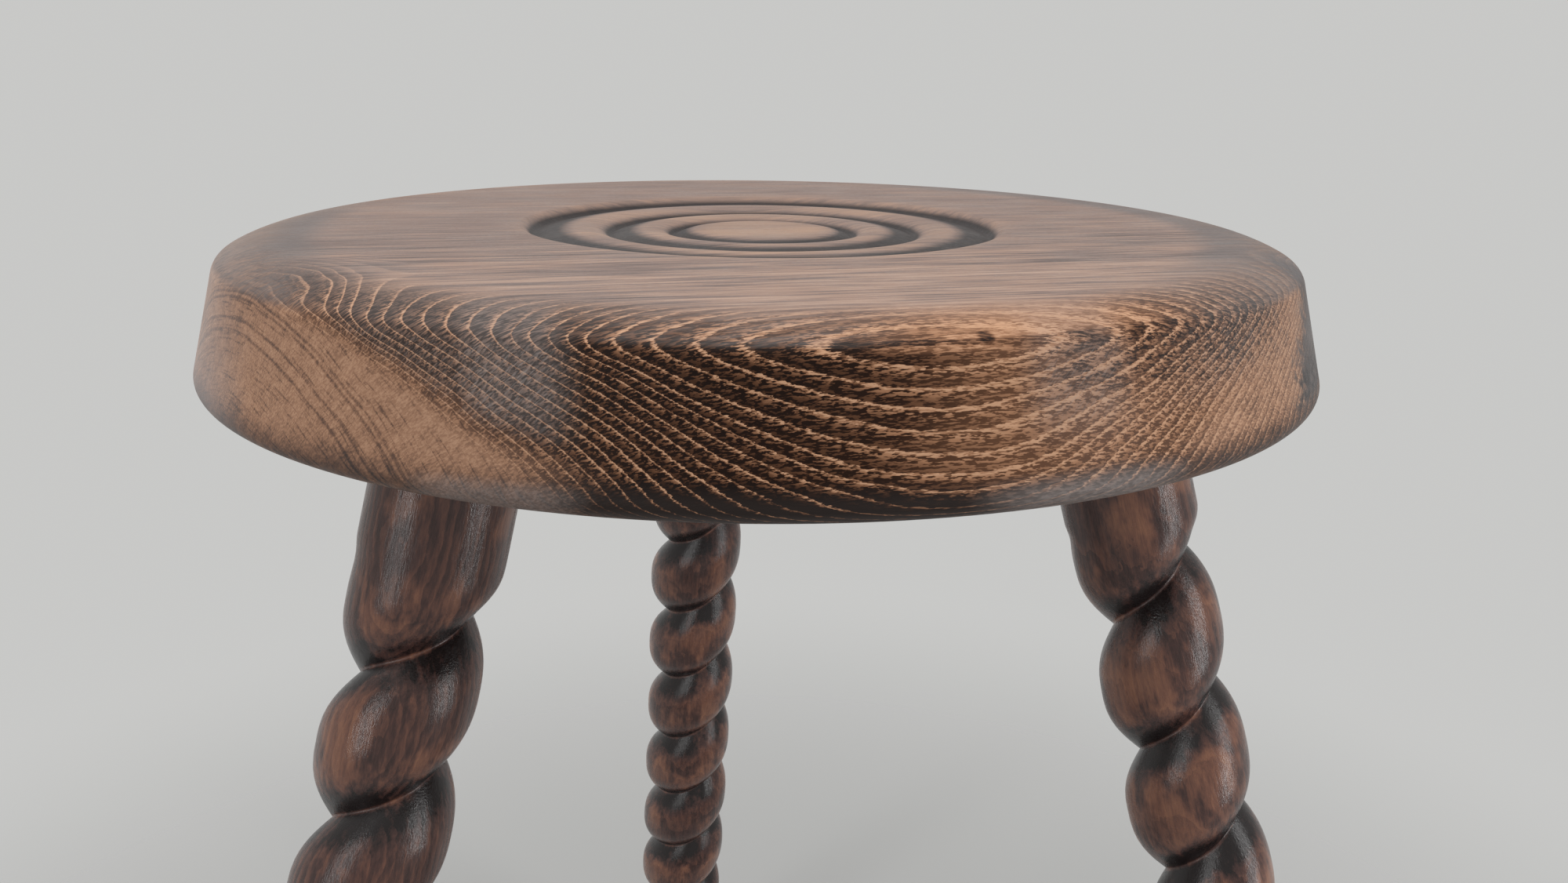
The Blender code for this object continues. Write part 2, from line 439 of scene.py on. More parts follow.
def make_seat():
    profile = seat_profile()
    points, faces = [], []
    marks = {"hollow": [], "face_up": []}
    for radius, height, hollow, face_up in profile:
        for i in range(SEAT_SEGMENTS):
            turn = FULL_TURN * i / SEAT_SEGMENTS
            out = Vector((math.cos(turn), math.sin(turn), 0.0)) * radius
            points.append(SEAT_CENTRE + out + Vector((0.0, 0.0, SEAT_TOP + height)))
        marks["hollow"] += [hollow] * SEAT_SEGMENTS
        marks["face_up"] += [face_up] * SEAT_SEGMENTS
    for row in range(len(profile) - 1):
        for i in range(SEAT_SEGMENTS):
            j = (i + 1) % SEAT_SEGMENTS
            a, b = row * SEAT_SEGMENTS, (row + 1) * SEAT_SEGMENTS
            faces.append((a + i, b + i, b + j, a + j))
    for row, height, is_last in ((0, -BEAD_DROP - DISH, False), (len(profile) - 1, -THICKNESS, True)):
        centre, start = len(points), row * SEAT_SEGMENTS
        points.append(SEAT_CENTRE + Vector((0.0, 0.0, SEAT_TOP + height)))
        for values in marks.values():
            values.append(values[start])
        for i in range(SEAT_SEGMENTS):
            j = (i + 1) % SEAT_SEGMENTS
            faces.append((centre, start + j, start + i) if is_last else (centre, start + i, start + j))
    mesh = bpy.data.meshes.new("seat_turned")
    mesh.from_pydata(points, [], faces)
    for name, values in marks.items():
        mesh.attributes.new(name, "FLOAT", "POINT").data.foreach_set("value", values)
    mesh.shade_smooth()
    return put_in_scene("seat_turned", mesh)


seat_turned = make_seat()
print("seat faces", len(seat_turned.data.polygons))

# %% [markdown]
# A barley twist leg follows a rule: start from a plain turned cylinder and cut one groove that climbs
# round it by a fixed pitch. That is a job for Geometry Nodes. The tree starts from a unit cylinder and
# reads each point's angle as its place in the turn. Each ring of points is turned on from the last,
# so the mesh lines run along the groove and keep it crisp, and they are bunched towards the groove.

# %% Winding of the twist
BUNCHING = 0.3
TWIST_INPUTS = {
    "Points round": ("NodeSocketInt", 72), "Rings": ("NodeSocketInt", 560),
    "Length": (NUMBER, 0.43), "Shoulder gap": (NUMBER, 0.0003), "Radius": (NUMBER, 0.018),
    "Swell": (NUMBER, 0.001), "Pitch": (NUMBER, 0.038), "Depth": (NUMBER, 0.005),
    "Sharpness": (NUMBER, 1.7), "Twist start": (NUMBER, 0.027), "Twist end": (NUMBER, 0.034),
    "Fade": (NUMBER, 0.018), "Groove start": (NUMBER, 0.0), "Splay": (NUMBER, 0.288),
    "Place": (PLACE, None), "Turn": (PLACE, None), "Seed": (NUMBER, 0.0),
    "Wood": ("NodeSocketMaterial", None)}


def winding(tree, given):
    """Each point's depth below the seat, its place in the turn, and its angle round the leg."""
    x, y, z = split(Amount(add(tree, "GeometryNodeInputPosition").outputs[0]))
    below = (0.5 - z) * (given["Length"] - given["Shoulder gap"]) + given["Shoulder gap"]
    even_turn = work("ARCTAN2", y, x) / FULL_TURN
    turn = even_turn - work("SINE", even_turn * FULL_TURN) * (BUNCHING / FULL_TURN)
    twist_end = given["Length"] - given["Twist end"]
    wound = least(most(below, given["Twist start"]), twist_end) / given["Pitch"]
    angle = (given["Groove start"] + turn - wound) * FULL_TURN
    return below, turn, angle


print("twist inputs", len(TWIST_INPUTS))

# %% [markdown]
# The radius at each point is the plain leg's, a little fuller towards the foot, less the cut. The cut
# is deepest at the groove and falls off to each side by a power, which leaves round ropes with a
# sharp valley. It fades out to the plain top and to the foot. These twists were cut by hand, so slow
# noise of about half a millimetre makes the ropes uneven. The foot's lower edge is eased.

# %% Groove of the twist
HAND_UNEVEN = 0.0011
UNEVEN_ROUND, UNEVEN_ALONG = 0.6, 26.0
FOOT_EDGE, FOOT_EDGE_SLOPE = 0.0012, 0.6


def groove_cut(given, below, turn, angle):
    """The leg's radius at each point, and how much of the groove's depth is cut there, 0 to 1."""
    twist_end = given["Length"] - given["Twist end"]
    swollen = ease(below / given["Length"], 0.0, 1.0) * given["Swell"] + given["Radius"]
    fade_in = ease((below - given["Twist start"]) / given["Fade"], 0.0, 1.0)
    fade_out = ease((twist_end - below) / given["Fade"], 0.0, 1.0)
    twisted = fade_in * fade_out
    from_groove = work("ABSOLUTE", work("SINE", turn * math.pi))
    cut = work("POWER", 1.0 - from_groove, given["Sharpness"]) * twisted
    spot = join(work("COSINE", angle) * UNEVEN_ROUND, work("SINE", angle) * UNEVEN_ROUND,
                below * UNEVEN_ALONG + given["Seed"])
    uneven = (noise(spot, scale=1.0, detail=1.0) - 0.5) * HAND_UNEVEN
    eased = (FOOT_EDGE - least(given["Length"] - below, FOOT_EDGE)) * FOOT_EDGE_SLOPE
    reach = swollen - cut * given["Depth"] - eased + uneven * twisted
    return reach, cut


print("hand-cut unevenness at most", 1000.0 * HAND_UNEVEN, "mm from low to high")

# %% [markdown]
# A splayed leg has to meet the seat and the floor flat, so both ends are cut level: near an end each
# point slides along the leg until its ring lies level. The tree then stores the depth of the groove
# and each point's place in the wood for the finish, leans the leg out and gives it its wood.

# %% Barley twist tree
LEVEL_REACH = 1.6


def level_ends(given, below, angle, reach):
    """Each point's final place before the leg leans out, and its place in the leg's own wood."""
    slope = work("TANGENT", given["Splay"])
    lean = given["Radius"] * slope * LEVEL_REACH
    top_level = straight(below, given["Shoulder gap"], lean, 1.0, 0.0)
    foot_level = straight(given["Length"] - below, 0.0, lean, 1.0, 0.0)
    side_x = reach * work("COSINE", angle)
    side_y = reach * work("SINE", angle)
    height = most(top_level, foot_level) * slope * side_y - below
    return join(side_x, side_y, height), join(below + given["Seed"], side_x, side_y)


def make_twist_tree():
    tree, given, out = open_tree("barley_twist", "GeometryNodeTree", TWIST_INPUTS,
                                 {"Geometry": "NodeSocketGeometry"})
    below, turn, angle = winding(tree, given)
    reach, cut = groove_cut(given, below, turn, angle)
    place, grain_place = level_ends(given, below, angle, reach)
    blank = add(tree, "GeometryNodeMeshCylinder", {"fill_type": "NGON"}, Vertices=given["Points round"],
                Side_Segments=given["Rings"], Radius=1.0, Depth=1.0)
    shape = Amount(blank.outputs["Mesh"])
    steps = (
        ("StoreNamedAttribute", {"data_type": "FLOAT", "domain": "POINT"}, {"Name": "groove", "Value": cut}),
        ("StoreNamedAttribute", {"data_type": "FLOAT_VECTOR", "domain": "POINT"},
         {"Name": "grain_place", "Value": grain_place}),
        ("SetPosition", {}, {"Position": place}),
        ("Transform", {}, {"Translation": given["Place"], "Rotation": given["Turn"]}),
        ("SetShadeSmooth", {}, {}),
        ("RealizeInstances", {}, {}),
        ("SetMaterial", {}, {"Material": given["Wood"]}))
    for kind, settings, inputs in steps:
        shape = Amount(add(tree, "GeometryNode" + kind, settings, Geometry=shape, **inputs).outputs[0])
    feed(shape, out.inputs["Geometry"])
    return tree


TWIST_TREE = make_twist_tree()
print("twist tree nodes", len(TWIST_TREE.nodes))

# %% [markdown]
# The seat's figure comes from its growth rings. The rings are near-circles round a pith line that
# runs along the grain, below the seat and towards the front. So each point of the seat is first given
# its place in the log: along the grain, back from the pith and up from it. The pores follow the
# fibres, which dip towards the left end, so they are drawn on a place that dips there too. The specks
# use the same noise, shifted so that they don't fall on the pores.

# %% Seat wood: place in the log
GRAIN_TURN = math.radians(1.73)
PITH_FORWARD, PITH_BELOW_TOP = 0.0756, 0.0747
DIP_START, DIP_BEND = -0.035, 4.5
SPECK_SHIFT = (0.31, 0.17, 0.05)


def mark(tree, name, output="Fac"):
    """A number or a place that is stored on the mesh under this name."""
    return Amount(add(tree, "ShaderNodeAttribute", {"attribute_name": name}).outputs[output])


pith = SEAT_CENTRE + Vector((math.sin(GRAIN_TURN), -math.cos(GRAIN_TURN), 0.0)) * PITH_FORWARD
pith.z = SEAT_TOP - PITH_BELOW_TOP
seat_wood = bpy.data.materials.new("seat_stained_wood")
seat_wood.use_nodes = True
seat_tree = seat_wood.node_tree
here = Amount(add(seat_tree, "ShaderNodeTexCoord").outputs["Object"])
grain = Amount(add(seat_tree, "ShaderNodeMapping", {"vector_type": "TEXTURE"}, Vector=here, Location=pith,
                   Rotation=(0.0, 0.0, GRAIN_TURN)).outputs[0])
along, back, up = split(grain)
height = split(here)[2] - SEAT_UNDERSIDE
face_up, hollow = mark(seat_tree, "face_up"), mark(seat_tree, "hollow")

past_dip = least(along - DIP_START, 0.0)
fibre = join(along, back, up + past_dip * past_dip * DIP_BEND)
dash = pores(fibre, long=380.0, fine=3400.0)
coarse = pores(fibre, long=200.0, fine=1900.0)
speck = pores(move(fibre, SPECK_SHIFT), long=420.0, fine=2400.0)
hair = pores(grain, long=50.0, fine=800.0)
brushed = pores(grain, long=24.0, fine=300.0)
drift = stain_drift(grain, along=14.0, across=45.0)
mottle = stain_drift(fibre, along=130.0, across=420.0)
print("pith line", PITH_FORWARD, "m in front of the axis and", PITH_BELOW_TOP, "m below the top")

# %% [markdown]
# Colouring each point by its distance from the pith gives everything at once: lines that sweep down
# and up across the front of the rim, hooks where they roll over the edge, and straight streaks on
# top. The years of the real plank are uneven, so the end of each is listed, in millimetres from the
# pith, and a curve node turns distance into a count of rings. At the left shoulder the
# rings bend over the crown sooner than circles would, so the distance falls a little there.

# %% Seat wood: growth rings
RING_ENDS_MM = (56.0, 59.0, 61.4, 63.3, 65.0, 66.8, 68.5, 70.0, 71.3, 72.2, 73.1, 74.4, 75.7, 77.0,
                78.3, 79.6, 80.9, 82.1, 83.3, 84.4, 85.5, 86.5, 87.4, 88.7, 90.3, 91.9, 93.4, 95.2,
                97.6, 100.4, 103.2, 106.0)
FIRST_LINE = 0.88
FINE_RAGGED, COARSE_RAGGED = 0.12, 0.08
SWAY_SLOW, SWAY_REACH = (18.0, 60.0, 60.0), (0.0, 0.0016, 0.0016)
TO_MIDDLE = (-0.5, -0.5, -0.5)
ACROSS_GRAIN = (0.0, 1.0, 1.0)
SHOULDER_START, SHOULDER_BEND, SHOULDER_FALL = -0.100, 5.0, 0.0029


def ring_count(distance):
    """Distance from the pith line, in metres, to a count of growth rings."""
    first, last = RING_ENDS_MM[0] / 1000.0, RING_ENDS_MM[-1] / 1000.0
    share = straight(distance, first, last, settings={"clamp": False})
    curve = add(distance.tree, "ShaderNodeFloatCurve", Value=share)
    count = len(RING_ENDS_MM) - 1
    places = [((end / 1000.0 - first) / (last - first), i / count) for i, end in enumerate(RING_ENDS_MM)]
    bend = curve.mapping.curves[0]
    bend.points[0].location, bend.points[1].location = places[0], places[-1]
    for spot in places[1:-1]:
        bend.points.new(*spot)
    for point in bend.points:
        point.handle_type = "VECTOR"
    curve.mapping.extend = "EXTRAPOLATED"
    curve.mapping.use_clip = False
    curve.mapping.update()
    return Amount(curve.outputs[0]) * float(count)


cloud = noise(stretch(grain, SWAY_SLOW), scale=1.0, detail=1.0, output="Color")
sway = stretch(move(cloud, TO_MIDDLE), SWAY_REACH)
from_pith = distance_from(stretch(move(grain, sway), ACROSS_GRAIN), (0.0, 0.0, 0.0))
past_shoulder = least(along - SHOULDER_START, 0.0)
shoulder = ease(height, 0.0300, 0.0350) * ease(along, -0.092, -0.116, 0.0, SHOULDER_FALL)
ring_distance = from_pith - shoulder - past_shoulder * past_shoulder * SHOULDER_BEND
ragged = (dash - 0.5) * FINE_RAGGED + (coarse - 0.5) * COARSE_RAGGED
years = ring_count(ring_distance) + ragged * ease(along, -0.085, -0.030, 0.35, 1.0) + FIRST_LINE
year = work("FRACT", years)
year_lot = Amount(add(seat_tree, "ShaderNodeTexWhiteNoise", {"noise_dimensions": "1D"},
                      W=work("FLOOR", years)).outputs["Value"])
line_start = ease(along, -0.060, 0.0, 0.80, 0.76)
year_line = ease(year, line_start, 0.94) * ease(year, 1.0, 0.97)
late_wood = ease(year, 0.18, 1.0)
print("growth rings", len(RING_ENDS_MM) - 1, "to", RING_ENDS_MM[-1], "mm from the pith")

# %% [markdown]
# Stain didn't soak in evenly. The wood near the pith, low at the left, stayed pale and plain. Outside
# it the rings show: darkest in the middle of the front, warmer and lighter to the right, partly from
# the stain and partly painted light where the rim turns to the lamp on the right, calmer round the back.
# These zones are masks from 0 to 1 that the next steps share. Each is a smooth step of a place in the
# log, because a painted mask would not follow the wood round the rim.

# %% Seat wood: zones
CROWN_SHIFT = 0.009
HEART_SLOPE, HEART_LEFT, HEART_MIDDLE, HEART_RIGHT = 0.05, 0.0060, 0.0088, 0.0032
LEFT_END_START, LEFT_END_FULL = -0.125, -0.145

from_left = along + ease(face_up, 0.02, 0.30) * CROWN_SHIFT
heart_edge = least(along, -0.05) * HEART_SLOPE + ease(along, 0.02, 0.05, 0.0, HEART_RIGHT)
heart_edge = heart_edge + ease(along, -0.09, -0.04, HEART_LEFT, HEART_MIDDLE)
pale_heart = most(ease(from_pith - heart_edge, 0.0735, 0.0660), ease(from_left, -0.098, -0.122))
hides_rings = ease(along, -0.03, 0.03, 1.0, 0.25) * ease(back, 0.015, 0.060, 1.0, 0.45)
calm_back = ease(back, 0.03, 0.10, 1.0, 0.40)
ringed = (1.0 - pale_heart * hides_rings) * calm_back
# Partly painted light: the right of the rim is lighter where it turns to the lamp on the right.
warm_and_lit_right = ease(along, -0.024, 0.018) * ease(along, 0.030, 0.085, 1.0, 0.50) * ringed
far_right = ease(along, 0.030, 0.075)
left_end = ease(along, LEFT_END_START, LEFT_END_FULL)
low_edge = ease(height, 0.0095, 0.0022)
front_middle = ease(along, -0.080, -0.030) * ease(along, 0.055, 0.015)
# Painted light: in the middle of the front the crown gets a lighter tone and a thin grey sheen, where it
# catches the light above.
crown_sheen = front_middle * ease(face_up, 0.18, 0.30) * ease(along, 0.0, -0.03)
crown_lit = front_middle * ease(face_up, 0.32, 0.41)
print("zone nodes so far", len(seat_tree.nodes))

# %% [markdown]
# The rim's colour starts as one tone from dark to light. In each year dark early wood comes first,
# then pale specks, more of them as the year goes on, and a crisp light line ends it. Some years are
# lighter than others, by a lot drawn for each. At the far right the lines are softer and the years
# show as bands. The pale heart has no lines, only a patchy tone.

# %% Seat wood: tone of the years
DARKEST = 0.095
RIGHT_TONE, BACK_TONE, LEFT_END_TONE, CROWN_LIT_TONE = 0.28, 0.42, -0.13, 0.20
SPECK_TONE, LATE_SPECK_TONE, HEART_SPECK_TONE = 0.22, 0.38, -0.06
LOT_LEAST, LOT_SPREAD = 0.75, 0.5
HEART_TONE_LEFT, HEART_TONE_RIGHT = 0.53, 0.28
LINE_TONE_LEFT, LINE_TONE_RIGHT, LINE_SOFTER = 0.56, 0.44, 0.17
LOW_SPECKS_LOST = 0.5
BAND_MIDDLE, BAND_TONE = 0.55, 0.20
PORE_TONE, MOTTLE_TONE, MOTTLE_MIDDLE, DRIFT_TONE = 0.10, 0.17, 0.45, 0.14

heart_tone = ease(along, -0.03, 0.03, HEART_TONE_LEFT, HEART_TONE_RIGHT)
tone = DARKEST + warm_and_lit_right * RIGHT_TONE + pale_heart * heart_tone
tone = tone + (1.0 - calm_back) * BACK_TONE + left_end * LEFT_END_TONE + crown_lit * CROWN_LIT_TONE
speck_tone = SPECK_TONE + late_wood * ringed * LATE_SPECK_TONE + pale_heart * HEART_SPECK_TONE
tone = tone + ease(speck, 0.35, 0.75) * speck_tone * (1.0 - low_edge * LOW_SPECKS_LOST)
line_tone = ease(along, -0.03, 0.01, LINE_TONE_LEFT, LINE_TONE_RIGHT) - far_right * LINE_SOFTER
tone = tone + year_line * ringed * (year_lot * LOT_SPREAD + LOT_LEAST) * line_tone
tone = tone + (ease(year, 0.02, 0.42) - BAND_MIDDLE) * far_right * ringed * BAND_TONE
tone = tone + ((coarse - 0.5) * PORE_TONE + (mottle - MOTTLE_MIDDLE) * MOTTLE_TONE) * pale_heart
tone = tone + (drift - 0.5) * DRIFT_TONE
print("rim tone nodes so far", len(seat_tree.nodes))

# %% [markdown]
# A tone becomes a colour in two ways. A ramp gives a colour to each tone, which suits stain, because
# more stain is darker and redder at once. A mix lays a second colour over the first by a mask, which
# suits wax, dirt and wear.

# %% Colours
def ramp(tone, stops):
    """A colour for each tone, from (tone, (red, green, blue)) stops."""
    made = add(tone.tree, "ShaderNodeValToRGB", Fac=tone)
    slots = made.color_ramp.elements
    while len(slots) < len(stops):
        slots.new(0.5)
    for slot, (position, colour) in zip(slots, stops):
        slot.position = position
        slot.color = (*colour, 1.0)
    return Amount(made.outputs[0])


def mix_colour(share, first, second):
    """The first colour where the share is 0, the second where it is 1."""
    colours = [value if isinstance(value, Amount) else (*value, 1.0) for value in (first, second)]
    made = add(share.tree, "ShaderNodeMix", {"data_type": "RGBA"}, i0=share, i6=colours[0], i7=colours[1])
    return Amount(made.outputs[2])


print("colours ready")

# %% [markdown]
# On top of the years lie single marks. The pale heart has dark streaks that slant down to the right,
# four of them clear. The rim is darker along its low edge. There is one small knot in the front, a
# lighter flame of wood in the middle of the crown, and a darker brushed band at the upper right.
# The ramp then turns the tone into stained colours, from near black to a warm tan.

# %% Seat wood: marks and rim colour
STREAK_SLOPE, STREAK_START = 0.345, -0.115
STREAKS_ALONG, STREAKS_ACROSS, STREAKS_BACK = 260.0, 1500.0, 60.0
CLEAR_STREAKS = (0.0571, 0.0601, 0.0649, 0.0663)
STREAK_TONE, KNOT_TONE, FLAME_TONE, BRUSHED_TONE = -0.26, -0.45, 0.30, -0.22
EDGE_TONE_LEFT, EDGE_TONE_MIDDLE, EDGE_TONE_RIGHT = -0.30, -0.36, 0.06
KNOT_RIGHT, KNOT_FORWARD, KNOT_BELOW_TOP = 0.0118, 0.1400, 0.0036
KNOT = SEAT_CENTRE + Vector((KNOT_RIGHT, -KNOT_FORWARD, SEAT_TOP - KNOT_BELOW_TOP))
RIM_COLOURS = [(0.0, (0.008, 0.004, 0.003)), (0.18, (0.022, 0.009, 0.005)), (0.42, (0.125, 0.056, 0.029)),
               (0.68, (0.34, 0.172, 0.094)), (1.0, (0.53, 0.305, 0.185))]

slant = from_pith + (along - STREAK_START) * STREAK_SLOPE
streak_place = join(along * STREAKS_ALONG, slant * STREAKS_ACROSS, back * STREAKS_BACK)
streak = noise(streak_place, scale=1.0, detail=3.0, roughness=0.6)
streaks = ease(streak, 0.50, 0.72)
for middle in CLEAR_STREAKS:
    near = ease(work("ABSOLUTE", slant - middle), 0.0007, 0.0001)
    streaks = most(streaks, near * ease(streak, 0.28, 0.52))
tone = tone + streaks * ease(along, 0.03, -0.03) * pale_heart * STREAK_TONE
edge_tone = ease(along, -0.095, -0.040, EDGE_TONE_LEFT, EDGE_TONE_MIDDLE)
tone = tone + low_edge * (edge_tone - ease(along, 0.02, 0.06, 0.0, EDGE_TONE_RIGHT))
tone = tone + ease(distance_from(here, KNOT), 0.0022, 0.0008) * KNOT_TONE
flame = ease(from_pith, 0.0954, 0.0966) * ease(hair, 0.35, 0.80) * ease(face_up, 0.05, 0.20)
tone = tone + flame * FLAME_TONE
upper_right = ease(height, 0.016, 0.024) * ease(face_up, 0.45, 0.30)
upper_right = upper_right * ease(along, 0.005, 0.030) * ease(along, 0.100, 0.080)
tone = tone + upper_right * ease(hair, 0.75, 0.20) * BRUSHED_TONE
rim_colour = ramp(tone, RIM_COLOURS)
print("clear streaks", len(CLEAR_STREAKS), "and one knot")

# %% [markdown]
# Painted sheen: the side lamps' reflections are painted on the front of the rim in four soft upright
# bands, crossed by fine slanting scuffs, and in two places along the low edge. Each band is a middle
# along the grain, a reach and a strength. A mask of these mixes a grey over the wood, the colour of
# that painted reflection; thinner painted sheen lies on the crown and the low edge, and the pale heart
# gets a faint grey.

# %% Seat wood: painted sheen
SHEEN_BANDS = ((-0.076, 0.014, 0.38), (-0.095, 0.028, 0.19), (0.026, 0.015, 0.22), (0.090, 0.055, 0.22))
EDGE_SHEEN_BANDS = ((-0.080, 0.021, 0.55), (0.029, 0.032, 0.66))
FULL_SHEEN_SHARE = 0.3
SHEEN_GREY = (0.31, 0.27, 0.255)
SHEEN_SCUFFS, SHEEN_SPECKS, SHEEN_LEAST = 0.8, 0.7, 0.40
CROWN_HAIR, CROWN_LEAST, HEART_HAZE = 0.22, 0.06, 0.13
EDGE_SHEEN, LOWEST_SHEEN = 0.06, 0.15
EDGE_SHEEN_SPECKS, EDGE_SHEEN_LEAST = 0.4, 0.6


def upright_bands(places):
    """A mask on the front of the rim, from (middle, reach, strength) bands along the grain."""
    total = 0.0
    for middle, reach, strength in places:
        off = work("ABSOLUTE", along - middle)
        total = most(total, ease(off, reach, FULL_SHEEN_SHARE * reach, 0.0, strength))
    return total * ease(back, 0.03, 0.0)


sheen_levels = most(ease(height, 0.010, 0.020), ease(height, 0.007, 0.003))
slanting = pores(join(along + up, along - up), long=160.0, fine=2400.0)
scuffs = ease(slanting, 0.55, 0.95) * ease(face_up, 0.20, 0.0)
sheen_and_haze = scuffs * SHEEN_SCUFFS + speck * SHEEN_SPECKS + SHEEN_LEAST
sheen_and_haze = upright_bands(SHEEN_BANDS) * sheen_levels * ringed * sheen_and_haze
sheen_and_haze = most(sheen_and_haze, crown_sheen * (hair * CROWN_HAIR + CROWN_LEAST))
sheen_and_haze = most(sheen_and_haze, pale_heart * HEART_HAZE)
sheen_and_haze = most(sheen_and_haze, low_edge * ease(height, 0.0030, 0.0010, EDGE_SHEEN, LOWEST_SHEEN))
edge_sheen = upright_bands(EDGE_SHEEN_BANDS) * ease(height, 0.0085, 0.0030)
sheen_and_haze = most(sheen_and_haze, edge_sheen * (speck * EDGE_SHEEN_SPECKS + EDGE_SHEEN_LEAST))
# Mix the grey of the painted sheen over the rim.
rim_colour = mix_colour(sheen_and_haze, rim_colour, SHEEN_GREY)
print("hazes", len(SHEEN_BANDS), "rubbed edges", len(EDGE_SHEEN_BANDS))

# %% [markdown]
# At the left end the rim goes pale: painted sheen, the grey that wax mirrors where the rim turns to
# the side. At the right end the rim goes grey with a ragged edge, nearly black where it is thickest.

# %% Seat wood: the ends of the rim
LEFT_SHEEN_PALE, LEFT_SHEEN_SHARE = (0.60, 0.54, 0.53), 0.36
RIGHT_END_GREY, RIGHT_END_SHARE = (0.068, 0.070, 0.075), 0.85
RIGHT_END_BLACK, RIGHT_END_BLACK_SHARE = (0.016, 0.017, 0.019), 0.65
RIGHT_END_RAGGED = 0.010
RIGHT_END_START, RIGHT_END_FULL = 0.092, 0.103

# Painted sheen: pale grey over the left end of the rim.
rim_colour = mix_colour(left_end * LEFT_SHEEN_SHARE, rim_colour, LEFT_SHEEN_PALE)
# The rim goes greyer towards its right end, with a ragged edge, and nearly black where it is thickest.
right_end_edge = ease(height, 0.016, 0.024, 0.004, 0.012) - mottle * RIGHT_END_RAGGED
right_end = ease(along - right_end_edge, RIGHT_END_START, RIGHT_END_FULL)
right_end = right_end * ease(height, 0.003, 0.008) * ease(back, 0.014, -0.010)
rim_colour = mix_colour(right_end * RIGHT_END_SHARE, rim_colour, RIGHT_END_GREY)
right_end_darkest = right_end * ease(height, 0.017, 0.011) * ease(mottle, 0.10, 0.80)
rim_colour = mix_colour(right_end_darkest * RIGHT_END_BLACK_SHARE, rim_colour, RIGHT_END_BLACK)
print("worn ends from", LEFT_END_START, "and", RIGHT_END_START, "m along the grain")

# %% [markdown]
# The top is paler and pinker than the rim: it was rubbed back, with long fine streaks and only faint
# rings, and its colours also hold painted sheen, the pale veil that wax mirrors at a grazing angle.
# Dark stain and painted shade fill the turned grooves, and the disc and the beads are warmer, where
# the tool cut fresh wood. The same tone and ramp steps make it, and face_up blends it into the rim,
# with painted shade over the crown and edge, where they turn away from the light above.

# %% Seat wood: top
TOP_COLOURS = [(0.0, (0.020, 0.016, 0.016)), (0.20, (0.090, 0.066, 0.058)), (0.38, (0.205, 0.147, 0.128)),
               (0.52, (0.315, 0.207, 0.160)), (0.80, (0.46, 0.32, 0.25)), (1.0, (0.56, 0.40, 0.31))]
GROOVE_BLACK, FRESH_WOOD, TIP_SHEEN_GREY = (0.026, 0.026, 0.028), (0.50, 0.31, 0.20), (0.125, 0.115, 0.115)
TOP_MIDDLE = SEAT_CENTRE + Vector((0.0, 0.0, SEAT_TOP))
HAIR_STREAKS, BRUSHED_STREAKS, FAINT_RINGS, TOP_DRIFT = 0.22, 0.18, 0.10, 0.12
GROOVE_SHARE, FRESH_DRIFT, FRESH_DISC = 0.90, 0.30, 0.25

streaky = (hair - 0.5) * HAIR_STREAKS + (brushed - 0.5) * BRUSHED_STREAKS
streaky = streaky + (late_wood - 0.4) * FAINT_RINGS + (drift - 0.5) * TOP_DRIFT
top_tone = streaky * ease(back, 0.10, -0.03, 0.40, 1.0) + ease(back, 0.03, -0.03, 0.41, 0.485)
top_colour = ramp(top_tone, TOP_COLOURS)
# Dark in the turned grooves: stain left there, together with painted shade.
top_colour = mix_colour(ease(hollow, 0.03, 0.50, 0.0, GROOVE_SHARE), top_colour, GROOVE_BLACK)
from_middle = distance_from(here, TOP_MIDDLE)
fresh = drift * FRESH_DRIFT + ease(from_middle, 0.021, 0.014, 0.0, FRESH_DISC)
fresh = fresh * ease(hollow, 0.20, 0.02)
top_colour = mix_colour(fresh * ease(from_middle, 0.075, 0.060), top_colour, FRESH_WOOD)
# Painted shade: by face_up the pale top turns into the darker rim over the crown and edge.
seat_colour = mix_colour(ease(face_up, 0.42, 0.84), rim_colour, top_colour)
print("top tones", len(TOP_COLOURS))

# %% [markdown]
# Last, the crown goes grey towards its left and right tips: painted sheen, the grey that wax mirrors
# where the crown is seen at a grazing angle. The wax polish sets the shine. A little relief in the
# specks and the year lines breaks it up, and it is bump, because the lines stand less than a tenth of
# a millimetre proud.

# %% Seat wood: tips and polish
SEAT_SPECULAR = 0.09
PORE_SHINE = 0.05
TIP_HAIR, TIP_LEAST = 0.35, 0.47
LINE_RELIEF, SPECK_RELIEF = 0.5, 0.6
SEAT_BUMP, BUMP_HEIGHT = 0.25, 0.0002

tip_sheen = most(ease(along, -0.106, -0.124), ease(along, 0.048, 0.100))
tip_sheen = tip_sheen * ease(face_up, 0.05, 0.25) * ease(face_up, 0.97, 0.80) * (hair * TIP_HAIR + TIP_LEAST)
# Painted sheen: grey towards the crown's tips.
seat_colour = mix_colour(tip_sheen, seat_colour, TIP_SHEEN_GREY)
seat_polish = hand_wax(here, dull=0.54, bright=0.38) - dash * PORE_SHINE
seat_relief = year_line * LINE_RELIEF + speck * SPECK_RELIEF


def finish_wood(material, colour, polish, relief, bump_strength, specular):
    """Feed a wood's colour, polish and relief to its shader."""
    shader = material.node_tree.nodes["Principled BSDF"]
    feed(colour, shader.inputs["Base Color"])
    feed(polish, shader.inputs["Roughness"])
    shader.inputs["Specular IOR Level"].default_value = specular
    bump = add(material.node_tree, "ShaderNodeBump", Strength=bump_strength, Distance=BUMP_HEIGHT,
               Height=relief)
    feed(Amount(bump.outputs[0]), shader.inputs["Normal"])


